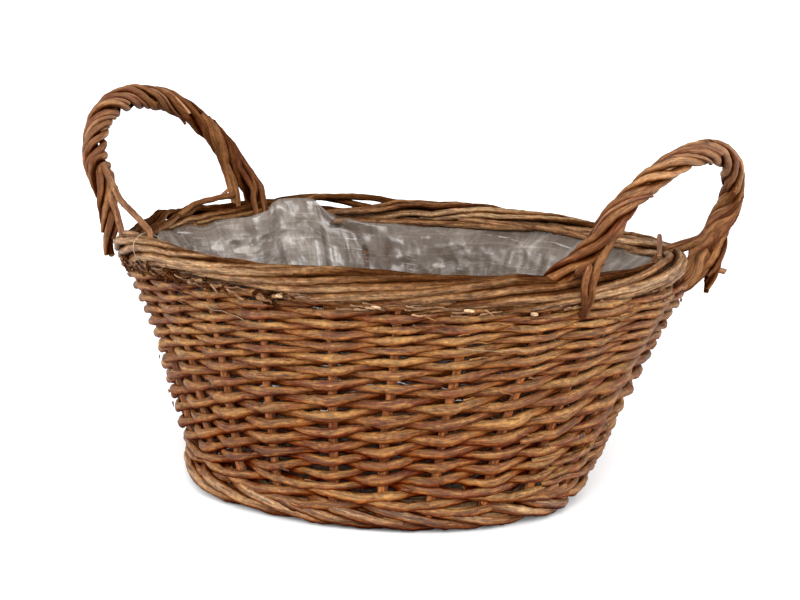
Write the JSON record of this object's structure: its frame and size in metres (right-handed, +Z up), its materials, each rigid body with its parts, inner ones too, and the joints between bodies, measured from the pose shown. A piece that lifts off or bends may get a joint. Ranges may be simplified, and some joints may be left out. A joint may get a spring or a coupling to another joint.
{
  "type": "willow planter basket",
  "caption": "Oval flared willow basket with a woven wall, rolled top border, two twisted rope-like rod handles and a clear film liner, for holding plants.",
  "frame": {"origin": "middle of the footprint, on the ground under the foot border", "axes": "+X along the long axis of the oval towards the right-hand handle, +Y towards the back, +Z up"},
  "size_m": [0.4724, 0.3036, 0.2474],
  "materials": {
    "willow_stake": "unpeeled willow rod, brown bark, satin",
    "willow_weaver": "thin willow rod, tan to red-brown bark, satin",
    "willow_border": "thick willow rod, tan bark with a grey-olive cast, satin",
    "willow_foot": "thick willow rod, brown bark, scuffed",
    "willow_handle": "willow rod, red-brown bark, satin",
    "willow_base": "willow rod, brown bark, matte",
    "film": "clear crinkled polythene film",
    "thread": "fine pale thread"
  },
  "bodies": {
    "root": {"base_stick_long_1": "willow_base", "base_stick_long_2": "willow_base", "base_stick_long_3": "willow_base", "base_stick_cross_1": "willow_base", "base_stick_cross_2": "willow_base", "base_stick_cross_3": "willow_base", "base_stick_cross_4": "willow_base", "base_stick_cross_5": "willow_base", "base_weave": "willow_base", "foot_border": "willow_foot", "stake_01": "willow_stake", "stake_02": "willow_stake", "stake_03": "willow_stake", "stake_04": "willow_stake", "stake_05": "willow_stake", "stake_06": "willow_stake", "stake_07": "willow_stake", "stake_08": "willow_stake", "stake_09": "willow_stake", "stake_10": "willow_stake", "stake_11": "willow_stake", "stake_12": "willow_stake", "stake_13": "willow_stake", "stake_14": "willow_stake", "stake_15": "willow_stake", "stake_16": "willow_stake", "stake_17": "willow_stake", "stake_18": "willow_stake", "stake_19": "willow_stake", "stake_20": "willow_stake", "stake_21": "willow_stake", "stake_22": "willow_stake", "stake_23": "willow_stake", "stake_24": "willow_stake", "upsett_wale": "willow_weaver", "randing_course_1": "willow_weaver", "randing_course_2": "willow_weaver", "randing_course_3": "willow_weaver", "randing_course_4": "willow_weaver", "randing_course_5": "willow_weaver", "randing_course_6": "willow_weaver", "randing_course_7": "willow_weaver", "border_rod_outer": "willow_border", "border_rod_inner": "willow_border", "border_rod_top": "willow_border", "handle_left_strand_1": "willow_handle", "handle_left_strand_2": "willow_handle", "handle_left_strand_3": "willow_handle", "handle_right_strand_1": "willow_handle", "handle_right_strand_2": "willow_handle", "handle_right_strand_3": "willow_handle", "handle_left_front_lashing": "willow_handle", "handle_left_back_lashing": "willow_handle", "handle_right_front_lashing": "willow_handle", "handle_right_back_lashing": "willow_handle", "liner_film": "film", "liner_stitch": "thread"}
  },
  "joints": []
}
